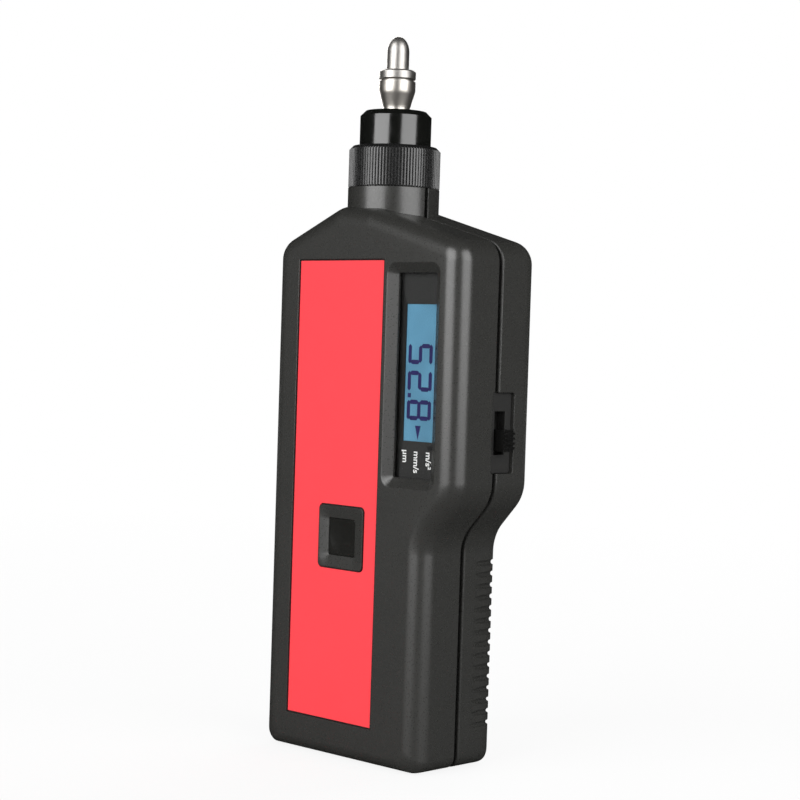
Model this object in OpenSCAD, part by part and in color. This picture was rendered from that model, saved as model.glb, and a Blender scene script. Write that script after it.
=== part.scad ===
// Handheld vibration meter: a two-shell case with a display, a measure key and a slide switch,
// and a probe tip that screws into the sensor, which a knurled ring holds in the neck.
// +Z runs up to the probe tip, the display faces -Y, and the base stands on z = 0.

/* [Case outline] */
// Width of the grip, centred on the sensor's axis
grip_w = 56.4; // [55:0.2:60]
// How far the display side stands out to the right of the grip
step_w = 9.7; // [9:0.1:11]
// Height of the step's lower corner on the right side
step_z = 58; // [56:0.5:60]
// Height from the step's lower corner to its upper corner
step_rise = 10.7; // [9.5:0.1:12]
// Height of the two shoulder corners
shoulder_z = 131.4; // [130:0.2:133]
// Height at which the shoulders meet the sides of the neck
neck_foot_z = 138.6; // [137.5:0.2:140]
// Half width of the ridge that the shoulders form in front of the neck and behind it
ridge_x = 6; // [5:0.5:8]
// Rounding of the step's lower corner
step_r = 10; // [8:0.5:12]
// Rounding of the step's upper corner
step_top_r = 10.5; // [8:0.5:12]
// Rounding of the shoulder corners
shoulder_r = 6.2; // [6:0.1:8]
// Rounding at the two ends of that ridge
foot_r = 8; // [7:0.5:10]

/* [Case shells] */
// Depth of the front shell, from the parting plane to the face
front_d = 15; // [14.6:0.1:16]
// Depth of the rear shell, from the parting plane to the back
rear_d = 14.6; // [14.4:0.1:16]
// Rounding of the long edges and the shoulders
edge_r = 5; // [4:0.1:5.4]
// Rounding of the edge round the base
base_r = 3.3; // [2:0.1:3.4]
// Wall of both shells
wall = 2.4; // [2:0.1:2.6]
// Width of the groove between the shells
groove_w = 1.2; // [0.6:0.1:1.4]
// Depth of the groove between the shells
groove_d = 1; // [0.6:0.1:1.1]
// Thickness of the tongue that closes the groove
tongue_t = 0.8; // [0.6:0.1:1]
// How far the tongue reaches past the parting plane
tongue_h = 1.2; // [0.8:0.1:1.8]

/* [Neck and ring] */
// Radius of the neck and of the knurled ring
neck_r = 11.8; // [11.6:0.1:12.6]
// Height of the neck's top, under the ring
neck_top = 146; // [145:0.2:147]
// Radius of the neck's threaded spigot inside the ring
spigot_r = 10.5; // [10.4:0.05:10.7]
// Length of the threaded spigot
spigot_h = 6; // [5:0.2:7]
// Radius of the neck's bore
neck_bore_r = 9.35; // [9.3:0.05:9.6]
// Height of the knurled ring
ring_h = 10.7; // [10.2:0.1:12]
// Chamfer on the ring's top edge
ring_chamfer = 1; // [0.4:0.1:1.4]
// Number of ridges of the knurl
knurl_n = 90; // [60:2:110]
// Depth of the knurl
knurl_d = 0.35; // [0.2:0.05:0.5]

/* [Sensor and probe] */
// Radius of the black sensor housing above the ring
cap_r = 9.2; // [9:0.05:9.25]
// Height of the housing's top
cap_top = 165.9; // [164:0.2:168]
// Chamfer on the housing's top edge
cap_chamfer = 1.35; // [0.6:0.05:1.6]
// Wall of the housing
cap_wall = 1.8; // [1.4:0.1:2.2]
// Height of the housing's lower end, inside the case
cap_foot = 134; // [132:0.5:136]
// Radius of the flange that the ring clamps
flange_r = 10.3; // [10:0.05:10.4]
// Thickness of the flange
flange_h = 1.4; // [1:0.1:1.8]
// Radius of the probe's collar and of the stem's band
collar_r = 4.8; // [4.4:0.1:5.4]
// Radius of the stem where it leaves the housing
stem_r = 3.45; // [3.2:0.05:3.8]
// Height of the stem's band
band_h = 2.4; // [1.6:0.1:3]
// Height of the stem's taper above the housing
taper_h = 5.3; // [4.5:0.1:6]
// Width of the joint between stem and probe tip
tip_gap = 0.4; // [0.3:0.05:0.6]
// Height of the tip's collar
collar_h = 2.5; // [2:0.1:3.2]
// Radius of the tip's round nose part
nose_r = 2.93; // [2.6:0.01:3.4]
// Length of the straight part of the nose
nose_straight = 4.6; // [3.6:0.1:6]
// Length of the nose's rounded end
nose_end = 4.3; // [3.6:0.1:5]
// Radius of the tip's threaded stud
stud_r = 1.9; // [1.6:0.05:2.2]
// Length of the stud
stud_h = 5.2; // [4.6:0.1:6]

/* [Label] */
// Left edge of the label, from the sensor's axis
label_x = -18.35; // [-20:0.05:-17.2]
// Width of the label
label_w = 30.2; // [28:0.1:31]
// Height of the label's lower edge
label_z = 9.55; // [8:0.05:12]
// Height of the label
label_h = 117.35; // [112:0.05:119]
// Thickness of the label
label_t = 0.5; // [0.3:0.05:0.7]
// Depth of the label's recess
label_d = 0.8; // [0.6:0.05:0.9]

/* [Display] */
// From the outer side of the case to the left edge of the display opening
win_side = 22; // [21.7:0.1:22.5]
// Width of the display opening
win_w = 13; // [12.4:0.1:13.4]
// Height of the opening's lower edge
win_z = 73; // [72.4:0.1:74]
// Height of the display opening
win_h = 50.9; // [50:0.1:51.6]
// Width of the sloped edge round the opening
win_slope_w = 2.5; // [2:0.1:2.6]
// Depth of the sloped edge
win_slope_d = 1.7; // [1.2:0.1:1.9]
// From the opening's left edge to the glass that shows
lcd_in = 1.6; // [1.1:0.05:2]
// Width of the glass that shows
lcd_w = 10.4; // [9.6:0.1:11]
// Height of its upper edge
lcd_top = 116.2; // [115:0.1:117.2]
// Height of the glass that shows
lcd_h = 34; // [32:0.1:35.5]
// Thickness of the window pane
pane_t = 0.8; // [0.6:0.05:1]

/* [Measure key] */
// Centre of the key from the sensor's axis
key_x = -0.52; // [-2:0.02:1]
// Height of the key's centre
key_z = 56.45; // [56:0.05:58]
// Side of the square frame round the key
key_frame = 15.85; // [14.6:0.05:17]
// Side of the key
key_w = 9.26; // [8.6:0.02:10]
// Gap round the key
key_fit = 0.12; // [0.1:0.01:0.2]
// Height of the key's top below the face of the case
key_sink = 0.75; // [0.6:0.05:1]
// How far the key goes in
key_travel = 0.5; // [0.3:0.05:0.6]

/* [Slide switch] */
// Length of the recess on the right side
recess_h = 19.9; // [19:0.1:22]
// Height of the recess's lower edge above the step's upper corner
recess_up = 6.3; // [5.6:0.1:8]
// Width of the recess
recess_w = 8; // [7.4:0.1:9]
// Front edge of the recess, from the parting plane
recess_y = -1.5; // [-2:0.1:-1.2]
// Depth of the recess
recess_d = 1; // [0.6:0.1:1.2]
// Width of the slot
slot_w = 3.9; // [3.8:0.05:4.4]
// Length of the slide knob
knob_h = 5.4; // [5:0.1:5.6]
// Width of the slide knob
knob_w = 3.5; // [3:0.1:3.6]
// How far the knob stands out of the case
knob_out = 2.7; // [2:0.1:3.2]
// Step from one setting to the next
knob_step = 2.2; // [1.8:0.1:2.3]
// Number of ribs on the knob
knob_ribs = 4; // [3:1:5]

/* [Grip ribs] */
// Number of grooves on each rear corner of the grip
rib_n = 15; // [8:1:15]
// Spacing of the grooves
rib_pitch = 2.93; // [2.6:0.01:3]
// Height of the lowest groove
rib_z = 10.4; // [9:0.1:11]
// Radius of a groove
rib_r = 0.75; // [0.6:0.05:0.9]
// Depth of a groove
rib_d = 0.55; // [0.3:0.05:0.65]
// Run of a groove along the side and along the back
rib_run = 4.6; // [3.6:0.1:5]

/* [Battery and door] */
// Width of the block battery
cell_w = 26.5; // [25.5:0.1:26.5]
// Depth of the block battery
cell_d = 17.4; // [16.5:0.1:17.5]
// Height of the battery without its studs
cell_h = 46.4; // [45:0.1:46.4]
// Width of the door
door_w = 34; // [32:0.2:35]
// Height of the door's upper edge
door_z = 56; // [54:0.5:57]
// Width of the door's runner on each side
runner_w = 1.5; // [1.2:0.1:1.8]
// Thickness of the runners
runner_t = 1; // [0.8:0.1:1.1]

/* [Inside] */
// Thickness of the main board
board_t = 1.6; // [1:0.1:1.6]
// Distance of the board's front from the parting plane
board_y = 6; // [5.8:0.05:6.2]
// Height of the board's lower edge
board_z = 53; // [52.6:0.1:53.2]
// Height of the board's upper edge
board_top = 128; // [126:0.5:129]
// Radius of the case screws' thread
screw_r = 1.3; // [1.1:0.05:1.5]
// Radius of the board screws' thread
board_screw_r = 0.95; // [0.8:0.05:1.1]

/* [Hidden] */
$fn = 96;
// Overrun of a cut past the surface that it opens
over = 1;
// Depth to which joined forms run into each other
eps = 0.05;
// Clearance between pieces that are assembled by hand
fit = 0.1;
// Clearance between a turning or sliding piece and its seat
run = 0.05;
// Steps of the rounded form: degrees per facet of a corner, facets of the base and of the edges
form_step = 6;
form_base_n = 8;
form_edge_n = 10;
groove_edge = 0.25;
base_strip_in = 10;

// Case: posts for the screws, battery ribs, rails and catch of the door
post_in = 5.7;
post_up = 6.2;
post_drop = 3.9;
front_post_r = 3;
rear_post_r = 3.4;
pilot_y = 9;
seat_y = 4.5;
head_r = 2.6;
head_h = 1.8;
screw_h = 12;
screw_slack = 0.25;
posts = [
    [-grip_w / 2 + post_in, post_up], [grip_w / 2 - post_in, post_up],
    [-grip_w / 2 + post_in, shoulder_z - post_drop],
    [grip_w / 2 + step_w - post_in, shoulder_z - post_drop]
];
cell_rib_t = 1.2;
cell_rib_y = -2;
rail_t = 1.2;
catch_w = 10;
catch_h = 2;
door_grips = 5;
door_grip_w = 16;
door_grip_z = 5;
door_grip_pitch = 2.4;
door_grip_r = 0.6;
rib_fade = 5;

// Label, display and key
label_gap = 0.35;
win_r = 0.4;
pane_lip = 1.1;
win_x = grip_w / 2 + step_w - win_side;
lcd_x = win_x + lcd_in;
lcd_z = lcd_top - lcd_h;
pane_y = wall + run;
mask_y = pane_y + pane_t;
mask_t = 0.15;
glass_y = mask_y + mask_t + run;
glass_t = 2;
lcd_side = 2.2;
lcd_end = 4.4;
lcd_frame_t = 1.2;
light_y = glass_y + glass_t + fit;
light_t = 2.4;
strip_h = 2.6;
frame_r = 1.1;
key_r = 0.5;
key_rim = 0.4;
key_slope_d = 0.55;
key_dish = 0.3;
key_flange_y = wall + run;
key_flange_t = 0.9;
key_flange_w = 0.8;
key_stem_w = 4;
tact_w = 6;
tact_h = 3.4;
tact_leg = 0.7;
tact_leg_share = 0.33;
tact_top = front_d - board_y - tact_h;
plunger_out = 0.8;
plunger_h = 2.4;
plunger_r = 1.7;

// Slide switch
recess_r = 0.7;
recess_z = step_z + step_rise + recess_up;
plate_x = grip_w / 2 + step_w - wall;
plate_back_t = 0.9;
plate_lip = 1;
slot_shift = 0.2;
slot_y = recess_y + (recess_w - slot_w) / 2 - slot_shift;
knob_rest = 0.9;
slot_h = knob_rest + knob_h + 2 * knob_step + run;
slot_z = recess_z + (recess_h - slot_h) / 2;
knob_rib_d = 0.5;
cover_x = plate_x - plate_back_t - run;
cover_t = 0.8;
cover_w = 5.4;
cover_h = knob_rest + 2 * knob_step;
driver_h = 3;
driver_w = 2.2;
can_d = 6.5;
can_w = 6.2;
can_h = 15;

// Battery, its snap, leads and pad
cell_gap = 0.25;
cell_r = 2;
cell_y = rear_d - wall - runner_t - 2 * fit - cell_gap - cell_d / 2;
cell_z = wall + fit;
stud_pitch = 12.7;
stud_top = 2.1;
male_r = 2.85;
female_r = 3.9;
snap_w = 25;
snap_d = 12;
snap_h = 4.6;
snap_y = cell_y;
lead_r = 0.65;
lead_gap = 3;
lead_up = 15;
lead_z = board_z + lead_up;
lead_bow = 6;
pad_w = 18;
pad_h = 26;
pad_z = cell_z + (cell_h - pad_h) / 2;
wire_sides = 8;
wire_rings = 14;

// Sensor
roof_t = 3;
stem_base_r = 6.4;
stem_base_h = 3;
stem_foot = cap_top - roof_t - stem_base_h;
stem_neck_h = 0.7;
band_top = cap_top + taper_h + band_h;
washer_in = 0.5;
tip_edge = 0.35;
nose_step = 5;
piezo_r = 5;
piezo_t = 1.5;
mass_r = 6;
mass_h = 6.5;
mass_foot = stem_foot - 2 * (piezo_t + run) - run - mass_h;
bolt_r = 1.5;
bolt_in = 2.5;
bolt_head_r = 2.75;
bolt_head_h = 2.4;
end_cap_h = 2.5;
sensor_lead_r = 0.9;
sensor_lead_drop = 11;
sensor_lead_z = board_top - sensor_lead_drop;
sensor_lead_bow = 6;
ring_edge = 0.3;
knurl_tip = 0.15;
ring_lip_gap = 0.25;
o_ring_room = 0.9;

// Board and what stands on it
board_gap = 0.8;
board_post_in = 7.6;
board_post_up = 8.5;
board_post_drop = 7;
board_post_share = 0.34;
board_posts = [[-grip_w / 2 + board_post_in, board_z + board_post_up],
    [grip_w / 2 - board_post_in, board_z + board_post_up],
    [grip_w * (board_post_share - 1 / 2), board_top - board_post_drop]];
boss_r = 2.4;
board_head_r = 1.9;
board_head_h = 1.2;
board_screw_h = 6;
cross_deep_share = 0.33;
cross_long_share = 1.2;
cross_wide_share = 0.25;
leg_t = 0.3;
leg_reach = 0.9;
leg_in = 0.15;
leg_wide_share = 0.5;
chip_t = 1.5;
converter_w = 13;
converter_legs = 11;
amplifier_w = 4;
amplifier_h = 8.7;
amplifier_legs = 7;
can_cap_r = 3.15;
can_cap_h = 7;
trimmer_w = 4.8;
trimmer_h = 9.5;
trimmer_t = 6.5;
trimmer_screw_r = 1.1;
trimmer_screw_h = 0.8;
// Places on the board, as shares of the grip's width and of the board's height
converter_shares = [0.41, 0.52];
amplifier_shares = [0.66, 0.73];
capacitor_shares = [[0.24, 0.28], [0.24, 0.4]];
trimmer_shares = [0.22, 0.68];
function on_board(s) = [(s.x - 1 / 2) * grip_w, board_z + s.y * (board_top - board_z)];

// Outline of the case, seen from the front: [corner, rounding, 1 if it points out or -1 if in]
x_l = -grip_w / 2;
x_g = grip_w / 2;
x_h = x_g + step_w;
// Height of the ridge's end on the side that reaches out to x
function ridge_z(x) = neck_foot_z
    + (neck_r - ridge_x) * (neck_foot_z - shoulder_z) / (abs(x) - neck_r);
corners = [
    [[x_g, step_z], step_r, -1],
    [[x_h, step_z + step_rise], step_top_r, 1],
    [[x_h, shoulder_z], shoulder_r, 1],
    [[ridge_x, ridge_z(x_h)], foot_r, 1],
    [[-ridge_x, ridge_z(x_l)], foot_r, 1],
    [[x_l, shoulder_z], shoulder_r, 1]
];
last = len(corners) - 1;

function unit(v) = v / norm(v);
function before(i) = i == 0 ? [x_g, 0] : corners[i - 1][0];
function after(i) = i == last ? [x_l, 0] : corners[i + 1][0];
function back_dir(i) = unit(before(i) - corners[i][0]);
function on_dir(i) = unit(after(i) - corners[i][0]);
function half_angle(i) = acos(back_dir(i) * on_dir(i)) / 2;
function arc_mid(i) = corners[i][0]
    + unit(back_dir(i) + on_dir(i)) * corners[i][1] / sin(half_angle(i));
// Radius of the corner's arc on the outline drawn in by d, and the arc's two ends
function arc_r(i, d) = corners[i][1] - corners[i][2] * d;
function arc_start(i, d) = arc_mid(i) + arc_r(i, d) * unit(corners[i][0]
    + back_dir(i) * corners[i][1] / tan(half_angle(i)) - arc_mid(i));
function arc_end(i, d) = arc_mid(i) + arc_r(i, d) * unit(corners[i][0]
    + on_dir(i) * corners[i][1] / tan(half_angle(i)) - arc_mid(i));

// The outline drawn in by d, with its lower edge at height foot
module outline(d, foot) {
    difference() {
        union() {
            polygon(concat([[x_l + d, foot], [x_g - d, foot]],
                [for (i = [0:last]) each [arc_start(i, d), arc_end(i, d)]]));
            for (i = [0:last]) if (corners[i][2] > 0) translate(arc_mid(i)) circle(arc_r(i, d));
        }
        for (i = [0:last]) if (corners[i][2] < 0) translate(arc_mid(i)) circle(arc_r(i, d));
    }
}

// Stands a drawing up, so that its height runs along Z and its depth along +Y
module upright() rotate([90, 0, 0]) mirror([0, 0, 1]) children();

// Half of the case as one rounded form: rings of the outline, drawn in as the depth grows
function form_turn(i) = 180 - 2 * half_angle(i);
function arc_points(c, r, from, to, n) = [for (k = [0:n])
    c + r * [cos(from + (to - from) * k / n), sin(from + (to - from) * k / n)]];
function corner_points(i, d) = let (
    a = arc_start(i, d) - arc_mid(i),
    from = atan2(a.y, a.x),
    steps = ceil(form_turn(i) / form_step)
) arc_points(arc_mid(i), arc_r(i, d), from, from + corners[i][2] * form_turn(i), steps);
function form_ring(d, e) = concat(
    arc_points([x_l + d + base_r, e + base_r], base_r, 180, 270, form_base_n),
    arc_points([x_g - d - base_r, e + base_r], base_r, 270, 360, form_base_n),
    [for (i = [0:last]) each corner_points(i, d)]
);
// How far the base is drawn in at depth t of a half that is end deep
function base_in(t, end) = t < end - base_r ? 0
    : base_r - sqrt(max(0, base_r ^ 2 - (t - end + base_r) ^ 2));
function form_rings(start, end) = concat(
    [[start - over, groove_edge, groove_edge], [start, groove_edge, groove_edge]],
    [[start + groove_edge, 0, 0]],
    [for (k = [0:form_edge_n]) let (
        a = 90 * k / form_edge_n,
        t = end - edge_r + edge_r * sin(a)
    ) [t, edge_r * (1 - cos(a)), base_in(t, end)]],
    [[end + over, edge_r, base_r]]
);
module half_form(start, end) {
    rings = form_rings(start, end);
    n = len(form_ring(0, 0));
    top = len(rings) - 1;
    intersection() {
        polyhedron(
            [for (r = rings) each [for (p = form_ring(r[1], r[2])) [p.x, r[0], p.y]]],
            concat(
                [[for (j = [n - 1:-1:0]) j]],
                [for (k = [0:top - 1]) each [for (j = [0:n - 1]) let (m = (j + 1) % n)
                    [k * n + m, (k + 1) * n + m, (k + 1) * n + j, k * n + j]]],
                [[for (j = [0:n - 1]) top * n + j]]
            )
        );
        // The flat face, and the plane that the shells meet at
        translate([x_l - over, start, -over]) cube([x_h - x_l + 2 * over, end - start, neck_top]);
    }
}

// Keeps what lies behind depth start, over the neck's width
module behind(start) intersection() {
    children();
    translate([-2 * neck_r, start, 0]) cube([4 * neck_r, 2 * neck_r, neck_top + 2 * spigot_h]);
}
// A drawing [x, height], extruded from y = a to y = b
module from_y(a, b) translate([0, b, 0]) rotate([90, 0, 0]) linear_extrude(b - a) children();
// The same, between two depths below the front face
module from_face(a, b) from_y(a - front_d, b - front_d) children();
// A drawing [y, height], extruded from x = a to x = b
module from_x(a, b) translate([a, 0, 0]) rotate([90, 0, 90]) linear_extrude(b - a) children();
// Rectangle with round corners
module soft_rect(x, z, w, h, r) translate([x, z]) {
    translate([r, 0]) square([w - 2 * r, h]);
    translate([0, r]) square([w, h - 2 * r]);
    for (cx = [r, w - r], cz = [r, h - r]) translate([cx, cz]) circle(r);
}
// Sloped cut from a wide opening in the face to a narrow one at depth d
module slope(x, z, w, h, r, grow, d) hull() {
    $fn = 32;
    from_face(-over / 2, 0) soft_rect(x - grow, z - grow, w + 2 * grow, h + 2 * grow, r + grow);
    from_face(d - eps, d) soft_rect(x, z, w, h, r);
}
// Round wire along the points p
function wire_dir(p, i) = unit(p[min(i + 1, len(p) - 1)] - p[max(i - 1, 0)]);
function bend(a, b, c, d) = [for (k = [0:wire_rings]) let (t = k / wire_rings)
    (1 - t) ^ 3 * a + 3 * (1 - t) ^ 2 * t * b + 3 * (1 - t) * t ^ 2 * c + t ^ 3 * d];
module wire(p, r) {
    n = len(p);
    polyhedron(
        [for (i = [0:n - 1]) let (
            side = unit(cross(wire_dir(p, i), [1, 0, 0])),
            up = cross(side, wire_dir(p, i))
        ) each [for (j = [0:wire_sides - 1]) let (a = 360 * j / wire_sides)
            p[i] + r * (side * cos(a) + up * sin(a))]],
        concat(
            [[for (j = [0:wire_sides - 1]) j]],
            [for (i = [0:n - 2]) each [for (j = [0:wire_sides - 1]) let (m = (j + 1) % wire_sides)
                [i * wire_sides + j, (i + 1) * wire_sides + j,
                    (i + 1) * wire_sides + m, i * wire_sides + m]]],
            [[for (j = [wire_sides - 1:-1:0]) (n - 1) * wire_sides + j]]
        )
    );
}

// One shell with its half of the neck, hollow
module half_shell(start, end) {
    difference() {
        union() {
            half_form(start, end);
            behind(start) translate([0, 0, neck_foot_z - edge_r])
                cylinder(r = neck_r, h = neck_top - neck_foot_z + edge_r);
            behind(run) translate([0, 0, neck_foot_z])
                cylinder(r = spigot_r, h = neck_top + spigot_h - neck_foot_z);
        }
        upright() translate([0, 0, -over]) linear_extrude(end - wall + over) outline(wall, wall);
        neck_bore();
    }
}
module neck_bore() translate([0, 0, neck_foot_z - wall - over])
    cylinder(r = neck_bore_r, h = neck_top + spigot_h - neck_foot_z + wall + 2 * over);
// Strip just inside the groove, from depth a to depth b behind the parting plane
module groove_strip(a, b, inner, outer) {
    upright() translate([0, 0, a]) linear_extrude(b - a) difference() {
        outline(outer, outer);
        outline(inner, inner);
    }
    intersection() {
        translate([-neck_r, a, neck_foot_z - outer - eps])
            cube([2 * neck_r, b - a, neck_top - neck_foot_z + outer + eps]);
        difference() {
            cylinder(r = neck_r - outer, h = neck_top);
            translate([0, 0, -over]) cylinder(r = neck_r - inner, h = neck_top + 2 * over);
        }
    }
}
// Cut in both shells that takes the switch plate
module plate_cut() from_x(x_h - wall - over, x_h + over)
    soft_rect(recess_y - fit, recess_z - fit, recess_w + 2 * fit, recess_h + 2 * fit, recess_r);
module plate_room() from_x(plate_x - plate_back_t - fit, x_h - wall + eps)
    soft_rect(recess_y - plate_lip, recess_z - plate_lip, recess_w + 2 * plate_lip,
        recess_h + 2 * plate_lip, recess_r);

module front_case() {
    key_hole = key_w + 2 * key_fit;
    color([0.23, 0.23, 0.22]) difference() {
        union() {
            mirror([0, 1, 0]) half_shell(groove_w / 2, front_d);
            mirror([0, 1, 0])
                groove_strip(-tongue_h, groove_w / 2 + eps, groove_d + tongue_t, groove_d);
            // Strip that closes the groove under the middle of the base
            translate([x_l + base_strip_in, -groove_w / 2 - groove_edge - eps, 0])
                cube([grip_w - 2 * base_strip_in, groove_w + groove_edge + eps - fit, groove_d + eps]);
            for (p = posts) from_y(-front_d + wall - eps, -run) translate(p) circle(front_post_r);
            for (p = board_posts) from_y(-front_d + wall - eps, -board_y) translate(p) circle(boss_r);
            for (s = [-1, 1]) from_y(-front_d + wall - eps, cell_rib_y)
                translate([s * (cell_w / 2 + cell_gap + cell_rib_t / 2) - cell_rib_t / 2, wall - eps])
                    square([cell_rib_t, cell_h - wall]);
        }
        from_face(-over, label_d) difference() {
            translate([label_x - label_gap, label_z - label_gap])
                square([label_w + 2 * label_gap, label_h + 2 * label_gap]);
            soft_rect(key_x - key_frame / 2, key_z - key_frame / 2, key_frame, key_frame, frame_r);
        }
        from_face(-over, wall + over) soft_rect(win_x, win_z, win_w, win_h, win_r);
        slope(win_x, win_z, win_w, win_h, win_r, win_slope_w, win_slope_d);
        slope(key_x - key_hole / 2, key_z - key_hole / 2, key_hole, key_hole, key_r,
            (key_frame - key_hole) / 2 - key_rim, key_slope_d);
        from_face(-over, wall + over) soft_rect(key_x - key_hole / 2, key_z - key_hole / 2,
            key_hole, key_hole, key_r);
        plate_cut();
        plate_room();
        neck_bore();
        for (p = posts) from_y(-pilot_y, over) translate(p) circle(screw_r + run);
        for (p = board_posts) from_y(-front_d + wall, -board_y + over) translate(p)
            circle(board_screw_r + run);
    }
}

// Groove round the rear corner of the grip, which runs out of the side and of the back in a long arc
module grip_groove() {
    path = edge_r + rib_r - rib_d;
    fade_r = (rib_run ^ 2 + rib_d ^ 2) / (2 * rib_d);
    fade = asin(rib_run / fade_r) + rib_fade;
    translate([x_g - edge_r, rear_d - edge_r, 0]) {
        rotate_extrude(angle = 90) translate([path, 0]) circle(rib_r, $fn = 32);
        translate([path + fade_r, 0, 0]) rotate(180)
            rotate_extrude(angle = fade) translate([fade_r, 0]) circle(rib_r, $fn = 32);
        translate([0, path + fade_r, 0]) rotate(-90 - fade)
            rotate_extrude(angle = fade) translate([fade_r, 0]) circle(rib_r, $fn = 32);
    }
}
module rear_case() {
    lip_y = rear_d - wall - runner_t - 2 * fit;
    color([0.21, 0.21, 0.20]) difference() {
        union() {
            half_shell(groove_w / 2, rear_d);
            for (p = posts) from_y(run, rear_d - wall + eps) translate(p) circle(rear_post_r);
            for (s = [0, 1]) mirror([s, 0, 0]) translate([door_w / 2 + runner_w + fit, 0, wall - eps]) {
                translate([0, lip_y - rail_t, 0])
                    cube([rail_t, rear_d - wall + eps - lip_y + rail_t, door_z - wall + eps]);
                translate([-runner_w, lip_y - rail_t, 0])
                    cube([runner_w + rail_t, rail_t, door_z - wall + eps]);
            }
        }
        // Rebate that takes the tongue of the front shell
        groove_strip(-over, tongue_h + 2 * fit, wall + 2 * eps, groove_d - fit);
        // Door opening, and the way out for the runners through the base
        translate([-door_w / 2, lip_y, -over])
            cube([door_w, 2 * wall + runner_t + over, door_z + over]);
        translate([-door_w / 2 - runner_w - fit, lip_y, -over])
            cube([door_w + 2 * runner_w + 2 * fit, runner_t + 2 * fit, wall + 2 * over]);
        plate_cut();
        plate_room();
        neck_bore();
        for (p = posts) {
            from_y(-over, seat_y + over) translate(p) circle(screw_r + screw_slack);
            from_y(seat_y, rear_d + over) translate(p) circle(head_r + screw_slack);
        }
        for (k = [0:rib_n - 1], s = [0, 1])
            translate([0, 0, rib_z + k * rib_pitch]) mirror([s, 0, 0]) grip_groove();
    }
}

module battery_door() {
    w = door_w - 2 * fit;
    inner_y = rear_d - wall - runner_t;
    color([0.20, 0.20, 0.19]) difference() {
        union() {
            translate([-w / 2, rear_d - wall, base_r]) cube([w, wall, door_z - fit - base_r]);
            intersection() {
                translate([-w / 2, rear_d - base_r, base_r]) rotate([0, 90, 0])
                    cylinder(r = base_r, h = w);
                translate([-w / 2, rear_d - wall, 0]) cube([w, wall, base_r]);
            }
            translate([-w / 2, inner_y - fit, 0]) cube([w, runner_t + 2 * fit, door_z - fit]);
            translate([-door_w / 2 - runner_w, inner_y - fit, 0])
                cube([door_w + 2 * runner_w, runner_t, door_z - fit]);
            translate([-catch_w / 2, inner_y - fit, door_z - over])
                cube([catch_w, runner_t, catch_h + over]);
        }
        for (k = [0:door_grips - 1])
            translate([-door_grip_w / 2, rear_d, door_z - door_grip_z - k * door_grip_pitch])
                rotate([0, 90, 0]) cylinder(r = door_grip_r, h = door_grip_w);
    }
}

module front_label() {
    hole = key_frame + 2 * label_gap;
    color([1, 0.29, 0.33]) from_face(label_d - label_t, label_d) difference() {
        translate([label_x, label_z]) square([label_w, label_h]);
        soft_rect(key_x - hole / 2, key_z - hole / 2, hole, hole, frame_r + label_gap);
    }
}

module pane_shape() soft_rect(win_x - pane_lip, win_z - pane_lip, win_w + 2 * pane_lip,
    win_h + 2 * pane_lip, win_r + pane_lip);
module display_window() {
    color([0.8, 0.85, 0.9, 0.4]) from_face(pane_y, pane_y + pane_t) pane_shape();
}
module display_mask() {
    color([0.15, 0.15, 0.15]) from_face(mask_y, mask_y + mask_t) difference() {
        pane_shape();
        translate([lcd_x, lcd_z]) square([lcd_w, lcd_h]);
    }
}
module lcd_block(grow) translate([lcd_x - lcd_side - grow, lcd_z - lcd_end - grow])
    square([lcd_w + 2 * lcd_side + 2 * grow, lcd_h + 2 * lcd_end + 2 * grow]);
module lcd_glass() {
    color([0.36, 0.58, 0.70]) from_face(glass_y, glass_y + glass_t) lcd_block(0);
}
module lcd_backlight() {
    color([0.75, 0.85, 0.95]) from_face(light_y, light_y + light_t) translate([0, strip_h])
        intersection() {
            lcd_block(0);
            translate([0, -2 * strip_h]) lcd_block(0);
        }
}
module lcd_contact_strips() {
    color([0.55, 0.35, 0.40]) from_face(light_y - fit, front_d - board_y)
        for (z = [lcd_z - lcd_end, lcd_z + lcd_h + lcd_end - strip_h + fit])
            translate([lcd_x - lcd_side + strip_h, z])
                square([lcd_w + 2 * lcd_side - 2 * strip_h, strip_h - fit]);
}
module lcd_frame() {
    color([0.85, 0.85, 0.82]) from_face(glass_y, front_d - board_y) difference() {
        lcd_block(lcd_frame_t);
        lcd_block(fit);
    }
}

module main_board() {
    color([0.10, 0.35, 0.18]) from_y(-board_y, -board_y + board_t) difference() {
        intersection() {
            outline(wall + board_gap, wall);
            translate([x_l, board_z]) square([grip_w + step_w, board_top - board_z]);
        }
        for (p = posts) translate(p) circle(front_post_r + board_gap);
        for (p = board_posts) translate(p) circle(board_screw_r + fit);
    }
}
module board_screws() {
    y = -board_y + board_t;
    color([0.7, 0.7, 0.72]) for (p = board_posts) difference() {
        union() {
            from_y(y, y + board_head_h) translate(p) circle(board_head_r);
            from_y(y - board_screw_h, y + eps) translate(p) circle(board_screw_r);
        }
        cross_slot(p, y + board_head_h, board_head_r);
    }
}
// Cross recess in a screw head whose face lies at y
module cross_slot(p, y, r) for (a = [0, 90]) from_y(y - r * cross_deep_share, y + over)
    translate(p) rotate(a) square([r * cross_long_share, r * cross_wide_share], center = true);
module case_screws() {
    color([0.15, 0.15, 0.16]) for (p = posts) difference() {
        union() {
            from_y(seat_y, seat_y + head_h) translate(p) circle(head_r);
            from_y(seat_y - screw_h, seat_y + eps) translate(p) circle(screw_r);
        }
        cross_slot(p, seat_y + head_h, head_r);
    }
}

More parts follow.
